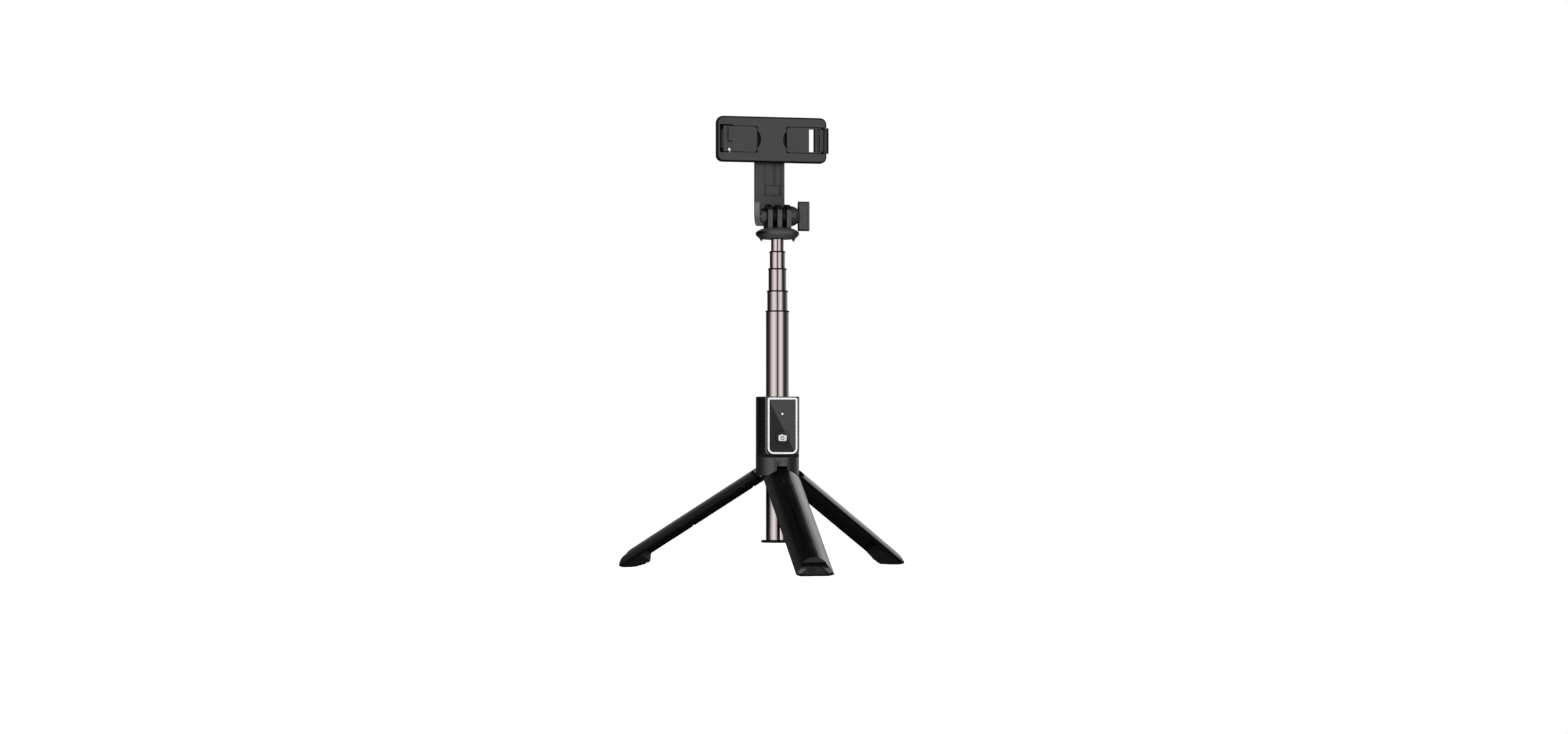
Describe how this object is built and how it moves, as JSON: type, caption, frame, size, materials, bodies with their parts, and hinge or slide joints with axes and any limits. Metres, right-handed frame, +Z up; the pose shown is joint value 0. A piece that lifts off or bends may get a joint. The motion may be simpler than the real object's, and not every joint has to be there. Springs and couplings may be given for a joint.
{
  "type": "selfie stick",
  "caption": "Mini tripod selfie stick: telescopic steel pole on three folding legs, pull-out shutter remote in the handle, three-prong tilt head and a folding clamp holder for a phone.",
  "frame": {"origin": "on the ground, at the middle of the footprint of the three open legs; the pole axis stands 21.4 mm behind it", "axes": "+Z up along the pole, -Y the front with the remote and the phone side of the holder, +X towards the thumb knob"},
  "size_m": [0.1946, 0.1686, 0.2959],
  "materials": {
    "handle_gloss": "glossy black moulded ABS",
    "leg_gloss": "glossy black moulded ABS",
    "matt_black": "fine-textured matt black moulded plastic",
    "dark_plastic": "satin black moulded plastic",
    "rubber": "matt black rubber",
    "nylon": "self-lubricating nylon, dark grey",
    "tube_steel": "polished stainless tube with a warm gun-metal tint",
    "steel": "bright zinc-plated steel",
    "silver_frame": "bright silver-plated plastic frame",
    "panel_gloss": "piano-black panel",
    "led_lens": "clear white light lens",
    "board": "green circuit board"
  },
  "bodies": {
    "handle": {"handle_body": "handle_gloss", "lower_guide_bush": "nylon", "upper_guide_bush": "nylon", "leg_pin_front": "steel", "leg_pin_right": "steel", "leg_pin_left": "steel"},
    "leg_front": {"leg_shell_front": "leg_gloss", "leg_foot_front": "rubber"},
    "leg_right": {"leg_shell_right": "leg_gloss", "leg_foot_right": "rubber"},
    "leg_left": {"leg_shell_left": "leg_gloss", "leg_foot_left": "rubber"},
    "pole_1": {"pole_tube_1": "tube_steel", "pole_collar_1": "dark_plastic", "pole_end_cap": "dark_plastic"},
    "pole_2": {"pole_tube_2": "tube_steel", "pole_collar_2": "dark_plastic", "pole_sleeve_2": "nylon"},
    "pole_3": {"pole_tube_3": "tube_steel", "pole_collar_3": "dark_plastic", "pole_sleeve_3": "nylon"},
    "pole_4": {"pole_tube_4": "tube_steel", "pole_collar_4": "dark_plastic", "pole_sleeve_4": "nylon"},
    "head": {"pole_tube_5": "tube_steel", "pole_sleeve_5": "nylon", "head_base": "matt_black", "head_nut": "steel"},
    "thumb_screw": {"thumb_knob": "dark_plastic", "thumb_bolt": "steel"},
    "tilt_arm": {"tilt_arm": "matt_black", "swivel_washer": "steel"},
    "holder": {"holder_front_shell": "matt_black", "holder_back_cover": "matt_black", "cover_screw_1": "steel", "cover_screw_2": "steel", "cover_screw_3": "steel", "cover_screw_4": "steel", "swivel_screw": "steel", "clamp_pin_left": "steel", "jaw_spring_lower": "steel", "jaw_spring_upper": "steel"},
    "clamp_left": {"clamp_arm_left": "matt_black", "clamp_pad_left": "rubber"},
    "jaw": {"jaw_carriage": "dark_plastic", "clamp_pin_right": "steel"},
    "clamp_right": {"clamp_arm_right": "matt_black", "clamp_pad_right": "rubber"},
    "remote": {"remote_back_shell": "dark_plastic", "remote_bezel": "silver_frame", "remote_panel": "panel_gloss", "remote_led": "led_lens", "remote_board": "board", "remote_switch": "dark_plastic", "remote_coin_cell": "steel", "remote_cell_contact": "steel"},
    "shutter_button": {"remote_button": "panel_gloss"}
  },
  "joints": [
    {"name": "leg_front_fold", "type": "hinge", "parent": "handle", "child": "leg_front", "pos_m": [0, 0.01037, 0.064], "axis": [-1, 0, 0], "range_deg": [-58.2, 0]},
    {"name": "leg_right_fold", "type": "hinge", "parent": "handle", "child": "leg_right", "pos_m": [0.00935, 0.02657, 0.064], "axis": [0.5, -0.866, 0], "range_deg": [-58.2, 0]},
    {"name": "leg_left_fold", "type": "hinge", "parent": "handle", "child": "leg_left", "pos_m": [-0.00935, 0.02657, 0.064], "axis": [0.5, 0.866, 0], "range_deg": [-58.2, 0]},
    {"name": "pole_in_handle", "type": "slide", "parent": "handle", "child": "pole_1", "axis": [0, 0, 1], "range_m": [-0.0494, 0.039]},
    {"name": "pole_stage_2", "type": "slide", "parent": "pole_1", "child": "pole_2", "axis": [0, 0, 1], "range_m": [-0.0119, 0.1182]},
    {"name": "pole_stage_3", "type": "slide", "parent": "pole_2", "child": "pole_3", "axis": [0, 0, 1], "range_m": [-0.0132, 0.1126]},
    {"name": "pole_stage_4", "type": "slide", "parent": "pole_3", "child": "pole_4", "axis": [0, 0, 1], "range_m": [-0.01, 0.1115]},
    {"name": "pole_stage_5", "type": "slide", "parent": "pole_4", "child": "head", "axis": [0, 0, 1], "range_m": [-0.0078, 0.1094]},
    {"name": "thumb_screw_turn", "type": "hinge", "parent": "head", "child": "thumb_screw", "pos_m": [0, 0.02117, 0.2296], "axis": [1, 0, 0], "continuous": true},
    {"name": "head_tilt", "type": "hinge", "parent": "head", "child": "tilt_arm", "pos_m": [0, 0.02117, 0.2296], "axis": [1, 0, 0], "range_deg": [-10, 180]},
    {"name": "holder_swivel", "type": "hinge", "parent": "tilt_arm", "child": "holder", "pos_m": [0, 0.04517, 0.2809], "axis": [0, 1, 0], "continuous": true},
    {"name": "clamp_left_fold", "type": "hinge", "parent": "holder", "child": "clamp_left", "pos_m": [-0.033, 0.03877, 0.2809], "axis": [0, 0, -1], "range_deg": [0, 92]},
    {"name": "jaw_slide", "type": "slide", "parent": "holder", "child": "jaw", "axis": [1, 0, 0], "range_m": [0, 0.015], "stiffness_N_per_m": 120, "springref_m": -0.012, "deforming": ["jaw_spring_lower", "jaw_spring_upper"]},
    {"name": "clamp_right_fold", "type": "hinge", "parent": "jaw", "child": "clamp_right", "pos_m": [0.0361, 0.03877, 0.2809], "axis": [0, 0, 1], "range_deg": [0, 92]},
    {"name": "remote_slide", "type": "slide", "parent": "handle", "child": "remote", "axis": [0, 0, 1], "range_m": [0, 0.038]},
    {"name": "shutter_press", "type": "slide", "parent": "remote", "child": "shutter_button", "axis": [0, 1, 0], "range_m": [0, 0.0004], "stiffness_N_per_m": 1500, "springref_m": -0.0005}
  ]
}
